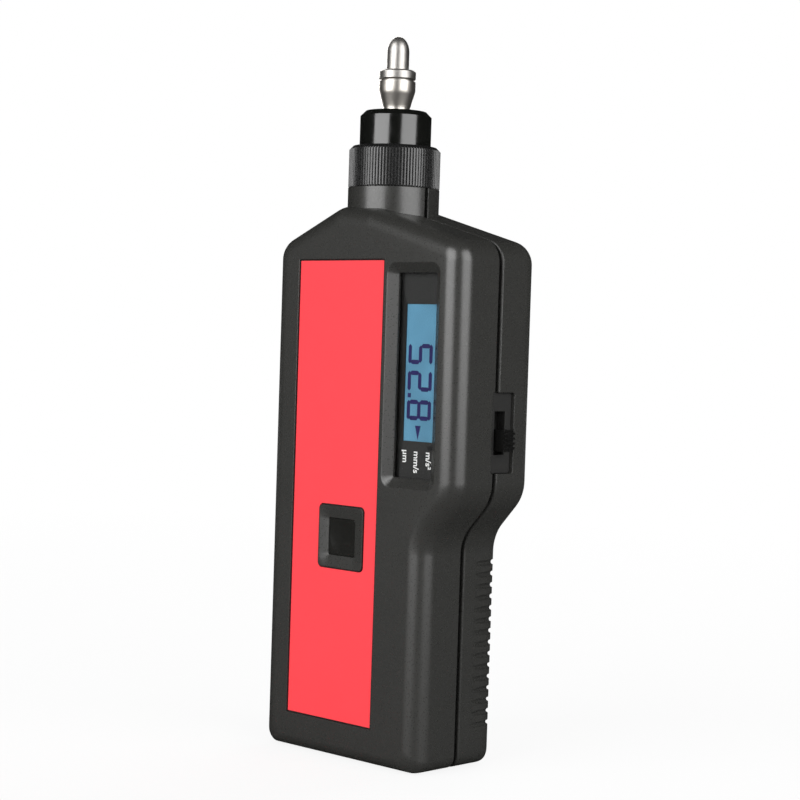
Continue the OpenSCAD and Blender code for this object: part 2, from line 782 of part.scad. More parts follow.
module square_at(x, z, side, r) soft_rect(x - side / 2, z - side / 2, side, side, r);
module measure_key() {
    top = key_sink;
    dish_r = (key_w ^ 2 / 4 + key_dish ^ 2) / (2 * key_dish);
    color([0.06, 0.06, 0.06]) difference() {
        union() {
            from_face(top, key_flange_y + eps) square_at(key_x, key_z, key_w, key_r);
            from_face(key_flange_y, key_flange_y + key_flange_t)
                square_at(key_x, key_z, key_w + 2 * key_flange_w, key_r);
            from_face(key_flange_y, tact_top - plunger_out) square_at(key_x, key_z, key_stem_w, key_r);
        }
        translate([key_x, -front_d + top - dish_r + key_dish, key_z]) sphere(r = dish_r);
    }
}
module tact_switch() {
    color([0.12, 0.12, 0.13]) difference() {
        union() {
            from_face(tact_top, front_d - board_y) square_at(key_x, key_z, tact_w, key_r);
            for (s = [-1, 1], t = [-1, 1]) from_face(front_d - board_y - tact_leg, front_d - board_y)
                translate([key_x + s * tact_w * tact_leg_share, key_z + t * tact_w / 2])
                    square(tact_leg, center = true);
        }
        from_face(tact_top - over, tact_top + plunger_h) translate([key_x, key_z])
            circle(plunger_r + run);
    }
}
module tact_plunger() {
    color([0.8, 0.3, 0.2]) from_face(tact_top - plunger_out, tact_top + plunger_h - key_travel - fit)
        translate([key_x, key_z]) circle(plunger_r);
}

module switch_plate() {
    color([0.22, 0.22, 0.21]) difference() {
        union() {
            from_x(plate_x - eps, x_h - recess_d)
                soft_rect(recess_y, recess_z, recess_w, recess_h, recess_r);
            from_x(plate_x - plate_back_t, plate_x) soft_rect(recess_y - plate_lip + fit,
                recess_z - plate_lip + fit, recess_w + 2 * plate_lip - 2 * fit,
                recess_h + 2 * plate_lip - 2 * fit, recess_r);
        }
        from_x(plate_x - 2 * plate_back_t, x_h + over) translate([slot_y, slot_z])
            square([slot_w, slot_h]);
    }
}
module function_knob() {
    cy = slot_y + slot_w / 2;
    z = slot_z + knob_rest;
    out = x_h + knob_out;
    rib = knob_h / (2 * knob_ribs + 1);
    color([0.08, 0.08, 0.08]) difference() {
        union() {
            from_x(cover_x - eps, out) translate([cy - knob_w / 2, z]) square([knob_w, knob_h]);
            from_x(cover_x - cover_t, cover_x) translate([cy - cover_w / 2, z - cover_h])
                square([cover_w, knob_h + 2 * cover_h]);
            from_x(cover_x - cover_t - driver_h, cover_x) translate([cy, z + knob_h / 2])
                square(driver_w, center = true);
        }
        for (k = [0:knob_ribs]) from_x(out - knob_rib_d, out + over)
            translate([cy - knob_w, z + rib * 2 * k]) square([2 * knob_w, rib]);
    }
}
module function_switch() {
    cy = slot_y + slot_w / 2;
    x = cover_x - cover_t - 2 * fit;
    z = slot_z + slot_h / 2 - can_h / 2;
    color([0.72, 0.73, 0.74]) difference() {
        union() {
            translate([x - can_d, cy - can_w / 2, z]) cube([can_d, can_w, can_h]);
            translate([x - can_d + fit, -board_y + board_t, z + fit])
                cube([can_d - 2 * fit, cy - can_w / 2 + board_y - board_t + eps, can_h - 2 * fit]);
        }
        translate([x - driver_h - fit, cy - driver_w / 2 - fit,
            slot_z + knob_rest + knob_h / 2 - driver_w / 2 - knob_step / 2])
            cube([driver_h + over, driver_w + 2 * fit, driver_w + 3 * knob_step]);
    }
}

module battery() {
    color([0.75, 0.60, 0.20]) {
        translate([0, cell_y, cell_z]) linear_extrude(cell_h)
            soft_rect(-cell_w / 2, -cell_d / 2, cell_w, cell_d, cell_r);
        translate([-stud_pitch / 2, cell_y, cell_z + cell_h - eps])
            cylinder(r = male_r, h = stud_top + eps);
        translate([stud_pitch / 2, cell_y, cell_z + cell_h - eps])
            cylinder(r = female_r, h = stud_top + eps);
    }
}
module battery_snap() {
    z = cell_z + cell_h + fit;
    color([0.05, 0.05, 0.05]) difference() {
        translate([0, snap_y, z]) linear_extrude(snap_h)
            soft_rect(-snap_w / 2, -snap_d / 2, snap_w, snap_d, cell_r);
        translate([-stud_pitch / 2, cell_y, z - over]) cylinder(r = male_r + fit, h = stud_top + over);
        translate([stud_pitch / 2, cell_y, z - over]) cylinder(r = female_r + fit, h = stud_top + over);
    }
}
module battery_leads() {
    top = [0, snap_y, cell_z + cell_h + fit + snap_h];
    pad = [0, -board_y + board_t + lead_r, lead_z];
    for (s = [-1, 1]) color(s < 0 ? [0.8, 0.1, 0.1] : [0.05, 0.05, 0.05]) wire(bend(
        top + [s * lead_gap, 0, 0], top + [s * lead_gap, 0, lead_bow],
        pad + [s * lead_gap, 0, -lead_bow], pad + [s * lead_gap, 0, 0]), lead_r);
}
module battery_pad() {
    color([0.15, 0.15, 0.16]) from_y(-front_d + wall, cell_y - cell_d / 2)
        translate([-pad_w / 2, pad_z]) square([pad_w, pad_h]);
}

module turn_z(points) rotate_extrude() polygon(points);
module sensor_housing() {
    z = neck_top + spigot_h;
    color([0.05, 0.05, 0.05]) difference() {
        turn_z([[0, cap_foot], [cap_r, cap_foot], [cap_r, z], [flange_r, z], [flange_r, z + flange_h],
            [cap_r, z + flange_h], [cap_r, cap_top - cap_chamfer], [cap_r - cap_chamfer, cap_top],
            [0, cap_top]]);
        translate([0, 0, cap_foot - over])
            cylinder(r = cap_r - cap_wall, h = cap_top - roof_t - cap_foot + over);
        translate([0, 0, cap_top - roof_t - over]) cylinder(r = stem_r + run, h = roof_t + 2 * over);
    }
}
module sensor_stem() {
    color([0.75, 0.74, 0.72]) difference() {
        turn_z([[0, stem_foot], [stem_base_r, stem_foot], [stem_base_r, cap_top - roof_t],
            [stem_r, cap_top - roof_t], [stem_r, cap_top + stem_neck_h],
            [collar_r, cap_top + taper_h], [collar_r, band_top], [0, band_top]]);
        translate([0, 0, band_top - stud_h]) cylinder(r = stud_r + run, h = stud_h + over);
        translate([0, 0, stem_foot - over]) cylinder(r = bolt_r + run, h = bolt_in + over);
    }
}
module probe_tip() {
    z = band_top + tip_gap;
    n = z + collar_h;
    color([0.80, 0.79, 0.77]) turn_z(concat(
        [[0, z - stud_h + fit], [stud_r, z - stud_h + fit], [stud_r, z],
            [collar_r - tip_edge, z], [collar_r, z + tip_edge],
            [collar_r, n - tip_edge], [collar_r - tip_edge, n], [nose_r, n]],
        [for (a = [0:nose_step:90]) [nose_r * cos(a), n + nose_straight + nose_end * sin(a)]]
    ));
}
module tip_washer() {
    color([0.45, 0.44, 0.42]) translate([0, 0, band_top]) difference() {
        cylinder(r = collar_r - washer_in, h = tip_gap);
        translate([0, 0, -over]) cylinder(r = stud_r + run, h = tip_gap + 2 * over);
    }
}
module piezo_discs() {
    color([0.85, 0.82, 0.70]) for (k = [1, 2]) translate([0, 0, stem_foot - k * (piezo_t + run)])
        difference() {
            cylinder(r = piezo_r, h = piezo_t);
            translate([0, 0, -over]) cylinder(r = bolt_r + fit, h = piezo_t + 2 * over);
        }
}
module seismic_mass() {
    color([0.50, 0.50, 0.48]) translate([0, 0, mass_foot]) difference() {
        cylinder(r = mass_r, h = mass_h);
        translate([0, 0, -over]) cylinder(r = bolt_r + fit, h = mass_h + 2 * over);
    }
}
module preload_bolt() {
    color([0.65, 0.65, 0.66]) {
        translate([0, 0, mass_foot - bolt_head_h]) cylinder(r = bolt_head_r, h = bolt_head_h);
        translate([0, 0, mass_foot - eps])
            cylinder(r = bolt_r, h = stem_foot + bolt_in - fit - mass_foot);
    }
}
module sensor_end_cap() {
    color([0.20, 0.20, 0.22]) translate([0, 0, cap_foot]) difference() {
        cylinder(r = cap_r - cap_wall - fit, h = end_cap_h);
        translate([0, 0, -over]) cylinder(r = sensor_lead_r + fit, h = end_cap_h + 2 * over);
    }
}
module sensor_lead() {
    board = [0, -board_y + board_t + sensor_lead_r, sensor_lead_z];
    foot = [0, 0, cap_foot - over];
    color([0.12, 0.12, 0.14]) wire(concat(
        [[0, 0, mass_foot - bolt_head_h]],
        bend(foot, foot - [0, 0, sensor_lead_bow], board + [0, 0, sensor_lead_bow], board)
    ), sensor_lead_r);
}
module retaining_ring() {
    seat = neck_top + spigot_h + flange_h + o_ring_room;
    bore = spigot_r + run;
    color([0.07, 0.07, 0.07]) translate([0, 0, neck_top + run]) difference() {
        intersection() {
            linear_extrude(ring_h) polygon([for (k = [0:2 * knurl_n - 1]) let (a = 180 * k / knurl_n)
                (k % 2 == 0 ? neck_r + knurl_tip : neck_r - knurl_d) * [cos(a), sin(a)]]);
            turn_z([[0, 0], [neck_r - ring_edge, 0], [neck_r, ring_edge],
                [neck_r, ring_h - ring_chamfer], [neck_r - ring_chamfer, ring_h], [0, ring_h]]);
        }
        translate([0, 0, -over]) cylinder(r = bore, h = seat - neck_top - run + over);
        cylinder(r = cap_r + ring_lip_gap, h = ring_h + over);
    }
}
module clamp_o_ring() {
    color([0.03, 0.03, 0.03]) translate([0, 0, neck_top + spigot_h + flange_h + o_ring_room / 2])
        rotate_extrude() translate([(cap_r + spigot_r + run) / 2, 0])
            circle(o_ring_room / 2 - run, $fn = 32);
}

// Chip package with legs on two sides, standing on the back of the board
module chip(p, w, h, legs) {
    y = -board_y + board_t;
    pitch = h / (legs + 1);
    color([0.08, 0.08, 0.09]) {
        from_y(y + leg_t, y + leg_t + chip_t) translate(p) square([w, h], center = true);
        for (k = [1:legs], s = [-1, 1]) from_y(y, y + leg_t + chip_t / 2)
            translate(p + [s * (w / 2 + leg_reach / 2 - leg_in), k * pitch - h / 2])
                square([leg_reach, pitch * leg_wide_share], center = true);
    }
}
module converter_chip() chip(on_board(converter_shares), converter_w, converter_w, converter_legs);
module amplifier_chip() chip(on_board(amplifier_shares), amplifier_w, amplifier_h, amplifier_legs);
module capacitors() {
    y = -board_y + board_t;
    color([0.10, 0.12, 0.25]) for (s = capacitor_shares)
        from_y(y, y + can_cap_h) translate(on_board(s)) circle(can_cap_r);
}
module trimmer() {
    y = -board_y + board_t;
    p = on_board(trimmer_shares);
    color([0.15, 0.30, 0.70]) {
        from_y(y, y + trimmer_t) translate(p) square([trimmer_w, trimmer_h], center = true);
        translate([p.x, y + trimmer_t / 2, p.y + trimmer_h / 2 - eps])
            cylinder(r = trimmer_screw_r, h = trimmer_screw_h + eps);
    }
}

front_case();
rear_case();
battery_door();
front_label();
display_window();
display_mask();
lcd_glass();
lcd_backlight();
lcd_frame();
lcd_contact_strips();
main_board();
measure_key();
tact_switch();
tact_plunger();
switch_plate();
function_knob();
function_switch();
battery();
battery_snap();
battery_leads();
battery_pad();
sensor_housing();
sensor_stem();
piezo_discs();
seismic_mass();
preload_bolt();
sensor_end_cap();
sensor_lead();
retaining_ring();
clamp_o_ring();
probe_tip();
tip_washer();
case_screws();
board_screws();
converter_chip();
amplifier_chip();
capacitors();
trimmer();
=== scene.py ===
import math

import bmesh
import bpy
from mathutils import Matrix, Vector


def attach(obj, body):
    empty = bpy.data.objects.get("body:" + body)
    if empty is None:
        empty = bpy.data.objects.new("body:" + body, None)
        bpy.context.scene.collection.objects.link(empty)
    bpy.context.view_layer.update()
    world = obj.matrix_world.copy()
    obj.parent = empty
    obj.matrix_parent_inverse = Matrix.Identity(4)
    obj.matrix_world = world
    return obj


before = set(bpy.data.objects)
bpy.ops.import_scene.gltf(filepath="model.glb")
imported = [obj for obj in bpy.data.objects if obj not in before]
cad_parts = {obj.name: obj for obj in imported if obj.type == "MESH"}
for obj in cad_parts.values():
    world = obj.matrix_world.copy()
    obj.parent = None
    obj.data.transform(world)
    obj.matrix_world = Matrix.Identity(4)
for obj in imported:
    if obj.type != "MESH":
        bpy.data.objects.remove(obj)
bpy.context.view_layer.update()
mm = 0.001

# Camera
# The photograph looks at the meter's front right corner from just above its
# middle, from half a metre away, and leans by almost two degrees.
azimuth, elevation, lean = (math.radians(a) for a in (44.049, 1.759, -1.828))
distance = 0.51192
aim = Vector((0, 0, 0.0954))
aim_pixel = Vector((387.584, 385.006))
frame_pixels = 800
focal_pixels = 1974.196
film_width = 36

away = Vector((math.sin(azimuth) * math.cos(elevation),
               -math.cos(azimuth) * math.cos(elevation), math.sin(elevation)))
level_right = (-away).cross(Vector((0, 0, 1))).normalized()
level_down = (-away).cross(level_right)
right = level_right * math.cos(lean) + level_down * math.sin(lean)
down = level_down * math.cos(lean) - level_right * math.sin(lean)
off_centre = (aim_pixel - Vector((frame_pixels, frame_pixels)) / 2) / focal_pixels
place = aim - distance * (-away + off_centre.x * right + off_centre.y * down)

camera = bpy.data.objects.new("camera", bpy.data.cameras.new("camera"))
camera.data.sensor_width = film_width
camera.data.lens = focal_pixels / frame_pixels * film_width
camera.matrix_world = Matrix.Translation(place) @ Matrix((right, -down, away)).transposed().to_4x4()
bpy.context.scene.collection.objects.link(camera)
bpy.context.scene.camera = camera
bpy.context.scene.view_settings.view_transform = "Standard"

# Studio
# A white room with an almost clear floor, through which the door shows when it is down.
# Two tall soft lamps stand in front of the meter and at its right, with black cards round
# it. Behind it one lamp lights all but shows in no gloss, and one lights the steel alone.
room_grey = 0.32
lamp_watts = {"front_lamp": 10.3, "side_lamp": 8.6, "back_lamp": 8, "steel_lamp": 16}
lamp_far = 1.3
lamps = {"front_lamp": (-3, 50), "side_lamp": (88, 50), "back_lamp": (195, 60),
         "steel_lamp": (235, 50)}
card_far = 1.35
cards = {"left_card": (-64, 72), "middle_card": (43, 38), "back_card": (165, 102),
         "far_card": (-128, 62)}
lamp_low, lamp_high = 0.02, 1.5
card_black = (0.004, 0.004, 0.004, 1)
level_cards = {"floor_card": -0.2 * mm, "ceiling_card": lamp_high}
level_card_wide = 3
floor_wide = 12
floor_level = -0.4 * mm
floor_pale = (0.9, 0.9, 0.9, 1)
floor_clearness = 0.88
clearing_from, clearing_to = 0.1, 0.7
matt = 0.9


def upright(azimuth_degrees, far, low, high):
    """A vertical sheet's place, facing the meter from that side."""
    turn = math.radians(azimuth_degrees)
    spot = Vector((math.sin(turn) * far, -math.cos(turn) * far, (low + high) / 2))
    standing = Matrix.Rotation(turn, 4, "Z") @ Matrix.Rotation(math.pi / 2, 4, "X")
    return Matrix.Translation(spot) @ standing


def is_seen(nodes):
    """1 for rays of the camera, and for those that gloss and glass send on."""
    path = nodes.new("ShaderNodeLightPath")
    most = path.outputs["Is Camera Ray"]
    for ray in ("Is Glossy Ray", "Is Transmission Ray"):
        either = nodes.new("ShaderNodeMath")
        either.operation = "MAXIMUM"
        nodes.id_data.links.new(most, either.inputs[0])
        nodes.id_data.links.new(path.outputs[ray], either.inputs[1])
        most = either.outputs[0]
    return most


room = bpy.data.worlds.new("room")
room.use_nodes = True
room_nodes, room_links = room.node_tree.nodes, room.node_tree.links
room_nodes["Background"].inputs["Color"].default_value = (1, 1, 1, 1)
lift = room_nodes.new("ShaderNodeMapRange")
lift.inputs["To Min"].default_value = room_grey
lift.inputs["To Max"].default_value = 1
room_links.new(is_seen(room_nodes), lift.inputs["Value"])
room_links.new(lift.outputs["Result"], room_nodes["Background"].inputs["Strength"])
bpy.context.scene.world = room

for name, (side, width) in lamps.items():
    lamp = bpy.data.lights.new(name, "AREA")
    lamp.shape = "RECTANGLE"
    lamp.size = 2 * lamp_far * math.tan(math.radians(width / 2))
    lamp.size_y = lamp_high - lamp_low
    lamp.energy = lamp_watts[name] * lamp.size * lamp.size_y
    lamp_object = bpy.data.objects.new(name, lamp)
    lamp_object.matrix_world = upright(side, lamp_far, lamp_low, lamp_high)
    lamp_object.visible_glossy = name != "back_lamp"
    bpy.context.scene.collection.objects.link(lamp_object)
steel_pieces = bpy.data.collections.new("steel_pieces")
for name in ("sensor_stem", "tip_washer", "probe_tip"):
    steel_pieces.objects.link(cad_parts[name])
bpy.data.objects["steel_lamp"].light_linking.receiver_collection = steel_pieces


def sheet_mesh(name, wide, high):
    """A flat rectangle in its own XY plane."""
    mesh = bpy.data.meshes.new(name)
    x, y = wide / 2, high / 2
    mesh.from_pydata([(-x, -y, 0), (x, -y, 0), (x, y, 0), (-x, y, 0)], [], [(0, 1, 2, 3)])
    return mesh


black_card = bpy.data.materials.new("black_card")
black_card.use_nodes = True
black_card.node_tree.nodes["Principled BSDF"].inputs["Base Color"].default_value = card_black
black_card.node_tree.nodes["Principled BSDF"].inputs["Roughness"].default_value = matt


def lay_out(card):
    """Only gloss meets a card: it takes no light away from the meter or the floor."""
    card.visible_camera = card.visible_diffuse = card.visible_shadow = False
    bpy.context.scene.collection.objects.link(card)


for name, (side, width) in cards.items():
    card_wide = 2 * card_far * math.tan(math.radians(width / 2))
    card_mesh = sheet_mesh(name, card_wide, lamp_high - lamp_low)
    card_mesh.materials.append(black_card)
    card = bpy.data.objects.new(name, card_mesh)
    card.matrix_world = upright(side, card_far, lamp_low, lamp_high)
    lay_out(card)
for name, height in level_cards.items():
    card_mesh = sheet_mesh(name, level_card_wide, level_card_wide)
    card_mesh.materials.append(black_card)
    card = bpy.data.objects.new(name, card_mesh)
    card.location.z = height
    lay_out(card)

floor_mesh = sheet_mesh("floor", floor_wide, floor_wide)
floor_paint = bpy.data.materials.new("floor_paint")
floor_paint.use_nodes = True
floor_nodes, floor_links = floor_paint.node_tree.nodes, floor_paint.node_tree.links
floor_nodes["Principled BSDF"].inputs["Base Color"].default_value = floor_pale
floor_nodes["Principled BSDF"].inputs["Roughness"].default_value = matt
clear_floor = floor_nodes.new("ShaderNodeBsdfTransparent")
share = floor_nodes.new("ShaderNodeMath")
share.operation = "MULTIPLY"
floor_spot = floor_nodes.new("ShaderNodeTexCoord")
far_off = floor_nodes.new("ShaderNodeVectorMath")
far_off.operation = "LENGTH"
fade = floor_nodes.new("ShaderNodeMapRange")
fade.inputs["From Min"].default_value = clearing_from
fade.inputs["From Max"].default_value = clearing_to
fade.inputs["To Min"].default_value = floor_clearness
floor_links.new(floor_spot.outputs["Object"], far_off.inputs[0])
floor_links.new(far_off.outputs["Value"], fade.inputs["Value"])
floor_links.new(fade.outputs["Result"], share.inputs[1])
blend = floor_nodes.new("ShaderNodeMixShader")
floor_links.new(is_seen(floor_nodes), share.inputs[0])
floor_links.new(share.outputs[0], blend.inputs[0])
floor_links.new(floor_nodes["Principled BSDF"].outputs[0], blend.inputs[1])
floor_links.new(clear_floor.outputs[0], blend.inputs[2])
floor_links.new(blend.outputs[0], floor_nodes["Material Output"].inputs["Surface"])
floor_mesh.materials.append(floor_paint)
floor = bpy.data.objects.new("floor", floor_mesh)
floor.location.z = floor_level
bpy.context.scene.collection.objects.link(floor)

# Case halves
# Two shells of charcoal ABS, moulded in tools with a fine spark-eroded grain.
# They meet at a shadow groove, whose walls and floor are painted near black as shade, and the switch
# plate is let into their side.
charcoal = (46, 46, 44)
charcoal_grain = 0.15 * mm
charcoal_depth = 0.0018 * mm
charcoal_roughness = 0.3
soft_edge = 0.35 * mm
# Within this half width of the joint the case is painted near black: painted shade in the groove.
painted_shade_half_width = 0.59 * mm
groove_painted_shade = (12, 12, 12)
plate_grey = (38, 38, 37)
noise_low, noise_high = 0.3, 0.7


def paint(red, green, blue):
    """A colour as a screen shows it, 0 to 255, in the linear values that shaders take."""
    def linear(value):
        share = value / 255
        return share / 12.92 if share <= 0.04045 else ((share + 0.055) / 1.055) ** 2.4
    return (linear(red), linear(green), linear(blue), 1)


def even_shading(node, angle=32, seam=0.0005 * mm):
    """Joins the seams between a solid's faces, so that its rounded edges shade as one skin."""
    if node.data.attributes.get("custom_normal"):
        node.data.attributes.remove(node.data.attributes["custom_normal"])
    if "even_shading" not in bpy.data.node_groups:
        group = bpy.data.node_groups.new("even_shading", "GeometryNodeTree")
        group.interface.new_socket("Geometry", in_out="INPUT", socket_type="NodeSocketGeometry")
        group.interface.new_socket("Angle", in_out="INPUT", socket_type="NodeSocketFloat")
        group.interface.new_socket("Geometry", in_out="OUTPUT", socket_type="NodeSocketGeometry")
        steps = group.nodes
        start, end = steps.new("NodeGroupInput"), steps.new("NodeGroupOutput")
        weld = steps.new("GeometryNodeMergeByDistance")
        weld.inputs["Distance"].default_value = seam
        fold = steps.new("GeometryNodeInputMeshEdgeAngle")
        flat_enough = steps.new("FunctionNodeCompare")
        flat_enough.operation = "LESS_THAN"
        skin, bends = steps.new("GeometryNodeSetShadeSmooth"), steps.new("GeometryNodeSetShadeSmooth")
        skin.domain, bends.domain = "FACE", "EDGE"
        join = group.links.new
        join(start.outputs["Geometry"], weld.inputs["Geometry"])
        join(weld.outputs["Geometry"], skin.inputs["Geometry"])
        join(skin.outputs["Geometry"], bends.inputs["Geometry"])
        join(fold.outputs["Unsigned Angle"], flat_enough.inputs[0])
        join(start.outputs["Angle"], flat_enough.inputs[1])
        join(flat_enough.outputs["Result"], bends.inputs["Shade Smooth"])
        join(bends.outputs["Geometry"], end.inputs["Geometry"])
    shade = node.modifiers.new("even_shading", "NODES")
    shade.node_group = bpy.data.node_groups["even_shading"]
    shade[shade.node_group.interface.items_tree["Angle"].identifier] = math.radians(angle)
    weigh = node.modifiers.new("weigh_faces", "WEIGHTED_NORMAL")
    weigh.mode = "FACE_AREA"
    weigh.keep_sharp = True


def speckle(nodes, size, low, high, detail=2.0, offset=(0, 0, 0)):
    """Noise of that grain size, spread between two values."""
    spot = nodes.new("ShaderNodeTexCoord")
    shift = nodes.new("ShaderNodeMapping")
    shift.inputs["Location"].default_value = offset
    noise = nodes.new("ShaderNodeTexNoise")
    noise.inputs["Scale"].default_value = 1 / size
    noise.inputs["Detail"].default_value = detail
    spread = nodes.new("ShaderNodeMapRange")
    spread.inputs["From Min"].default_value = noise_low
    spread.inputs["From Max"].default_value = noise_high
    spread.inputs["To Min"].default_value = low
    spread.inputs["To Max"].default_value = high
    join = nodes.id_data.links.new
    join(spot.outputs["Object"], shift.inputs["Vector"])
    join(shift.outputs["Vector"], noise.inputs["Vector"])
    join(noise.outputs["Fac"], spread.inputs["Value"])
    return spread.outputs["Result"]


def tinted(nodes, light, dark, factor):
    """A colour between two, by a factor."""
    mix = nodes.new("ShaderNodeMix")
    mix.data_type = "RGBA"
    mix.inputs["A"].default_value = dark
    mix.inputs["B"].default_value = light
    nodes.id_data.links.new(factor, mix.inputs["Factor"])
    return mix.outputs["Result"]


def shaded(colour, share):
    """That linear colour, brighter or darker by a share."""
    return tuple(min(1, part * (1 + share)) for part in colour[:3]) + (1,)


def rounded_bump(nodes, shader, height, depth, edge):
    """Sends grain of that depth, on edges rounded by that radius, to a shader's normal."""
    join = nodes.id_data.links.new
    bump = nodes.new("ShaderNodeBump")
    bump.inputs["Distance"].default_value = depth
    join(height, bump.inputs["Height"])
    if edge:
        round_off = nodes.new("ShaderNodeBevel")
        round_off.samples = 4
        round_off.inputs["Radius"].default_value = edge
        join(round_off.outputs["Normal"], bump.inputs["Normal"])
    join(bump.outputs["Normal"], shader.inputs["Normal"])


def moulded(name, colour, roughness, grain, depth, edge=0.15 * mm, mottle=0.06, specular=0.5,
            cloud_size=14 * mm):
    """A moulded plastic or rubber: its own colour a little uneven, with the tool's grain on it."""
    material = bpy.data.materials.new(name)
    material.use_nodes = True
    nodes, join = material.node_tree.nodes, material.node_tree.links.new
    shader = nodes["Principled BSDF"]
    shader.inputs["IOR"].default_value = 1.5
    shader.inputs["Specular IOR Level"].default_value = specular
    cloud = speckle(nodes, cloud_size, 0, 1)
    wear = speckle(nodes, 3 * grain, roughness - 0.04, roughness + 0.04, offset=(3, 1, 2))
    skin = tinted(nodes, shaded(colour, mottle), shaded(colour, -mottle), cloud)
    join(skin, shader.inputs["Base Color"])
    join(wear, shader.inputs["Roughness"])
    rounded_bump(nodes, shader, speckle(nodes, grain, 0, 1, detail=1), depth, edge)
    return material


def finish(node_name, material):
    """Gives a solid of the frame its finish."""
    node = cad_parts[node_name]
    node.data.materials.clear()
    node.data.materials.append(material)
    return node


case_plastic = moulded("case_plastic", paint(*charcoal), charcoal_roughness, charcoal_grain,
                       charcoal_depth, edge=soft_edge, mottle=0.04, specular=0.8)
# Painted shade: the groove's walls and floor, within a band about the joint, take a plain near-black
# diffuse in place of the plastic.
case_nodes, case_join = case_plastic.node_tree.nodes, case_plastic.node_tree.links.new
case_spot, case_axes = case_nodes.new("ShaderNodeTexCoord"), case_nodes.new("ShaderNodeSeparateXYZ")
from_joint, in_shaded_groove = case_nodes.new("ShaderNodeMath"), case_nodes.new("ShaderNodeMath")
from_joint.operation, in_shaded_groove.operation = "ABSOLUTE", "LESS_THAN"
in_shaded_groove.inputs[1].default_value = painted_shade_half_width
groove_shade_paint, groove_shade_mix = case_nodes.new("ShaderNodeBsdfDiffuse"), case_nodes.new("ShaderNodeMixShader")
groove_shade_paint.inputs["Color"].default_value = paint(*groove_painted_shade)
case_join(case_spot.outputs["Object"], case_axes.inputs[0])
case_join(case_axes.outputs["Y"], from_joint.inputs[0])
case_join(from_joint.outputs[0], in_shaded_groove.inputs[0])
case_join(in_shaded_groove.outputs[0], groove_shade_mix.inputs[0])
case_join(case_nodes["Principled BSDF"].outputs[0], groove_shade_mix.inputs[1])
case_join(groove_shade_paint.outputs[0], groove_shade_mix.inputs[2])
case_join(groove_shade_mix.outputs[0], case_nodes["Material Output"].inputs["Surface"])
for half in ("front_case", "rear_case"):
    even_shading(finish(half, case_plastic))
plate_plastic = moulded("plate_plastic", paint(*plate_grey), 0.45, charcoal_grain, charcoal_depth,
                        edge=0.2 * mm, mottle=0.04)
even_shading(finish("switch_plate", plate_plastic))

# Case screws
# Four black-oxide steel screws, driven from the back into posts of the front half.
# Their cross recesses sit deep in the holes of the rear half.
screw_black = (38, 38, 40)
round_stretch = (0.04, 0.04, 1)
mark_depth = 0.006 * mm


def turned(name, colour, roughness, brushed, edge=0.1 * mm, metallic=1.0, streak=0.05):
    """A turned metal: fine tool marks run round its axis, so noise is stretched along the rounds."""
    material = bpy.data.materials.new(name)
    material.use_nodes = True
    nodes, join = material.node_tree.nodes, material.node_tree.links.new
    shader = nodes["Principled BSDF"]
    shader.inputs["Metallic"].default_value = metallic
    spot = nodes.new("ShaderNodeTexCoord")
    stretch = nodes.new("ShaderNodeMapping")
    stretch.inputs["Scale"].default_value = round_stretch
    marks = nodes.new("ShaderNodeTexNoise")
    marks.inputs["Scale"].default_value = 1 / brushed
    marks.inputs["Detail"].default_value = 4
    join(spot.outputs["Object"], stretch.inputs["Vector"])
    join(stretch.outputs["Vector"], marks.inputs["Vector"])
    join(tinted(nodes, shaded(colour, streak), shaded(colour, -streak), marks.outputs["Fac"]),
         shader.inputs["Base Color"])
    spread = nodes.new("ShaderNodeMapRange")
    spread.inputs["To Min"].default_value = roughness - 0.06
    spread.inputs["To Max"].default_value = roughness + 0.06
    join(marks.outputs["Fac"], spread.inputs["Value"])
    join(spread.outputs["Result"], shader.inputs["Roughness"])
    rounded_bump(nodes, shader, marks.outputs["Fac"], mark_depth, edge)
    return material


black_steel = turned("black_steel", paint(*screw_black), 0.38, 0.15 * mm)
even_shading(finish("case_screws", black_steel))

# Front label
# A coral polyester film with a fine matt print. It is die-cut to fit round the key's
# frame, and stuck into a shallow recess of the front.
coral = (247, 61, 70)
label_film = moulded("label_film", paint(*coral), 0.5, 0.12 * mm, 0.002 * mm, edge=0.05 * mm,
                     mottle=0.015, specular=0.35)
even_shading(finish("front_label", label_film))

# Display
# A liquid crystal cell on an edge-lit block, held in a white frame and joined to the
# board by two striped rubber strips. A printed mask and a clear pane close the window.
lcd_blue = (90, 140, 168)
cell_polish = 0.3
cell_glow = 0.08
segment_navy = (34, 27, 88)
mask_black = (34, 33, 32)
guide_white = (214, 226, 232)
frame_white = (224, 223, 218)
stripe_light, stripe_dark = (206, 198, 182), (24, 24, 24)
stripe_width = 6 * mm
pane_tint = (0.97, 0.98, 0.98, 1)
pane_polish = 0.06
acrylic_ior = 1.49

cell_print = bpy.data.materials.new("cell_print")
cell_print.use_nodes = True
cell_nodes, cell_join = cell_print.node_tree.nodes, cell_print.node_tree.links.new
cell_shader = cell_nodes["Principled BSDF"]
cell_shader.inputs["Roughness"].default_value = cell_polish
cell_shader.inputs["Emission Strength"].default_value = cell_glow
cell_colour = tinted(cell_nodes, shaded(paint(*lcd_blue), 0.12), shaded(paint(*lcd_blue), -0.1),
                     speckle(cell_nodes, 9 * mm, 0, 1, detail=1))
cell_join(cell_colour, cell_shader.inputs["Base Color"])
cell_join(cell_colour, cell_shader.inputs["Emission Color"])
even_shading(finish("lcd_glass", cell_print))
light_guide = moulded("light_guide", paint(*guide_white), 0.3, 0.6 * mm, 0.01 * mm)
frame_plastic = moulded("frame_plastic", paint(*frame_white), 0.45, 0.3 * mm, 0.008 * mm)
even_shading(finish("lcd_backlight", light_guide))
even_shading(finish("lcd_frame", frame_plastic))
mask_print = moulded("mask_print", paint(*mask_black), 0.55, 0.3 * mm, 0.02 * mm, edge=0, mottle=0.1)
even_shading(finish("display_mask", mask_print))

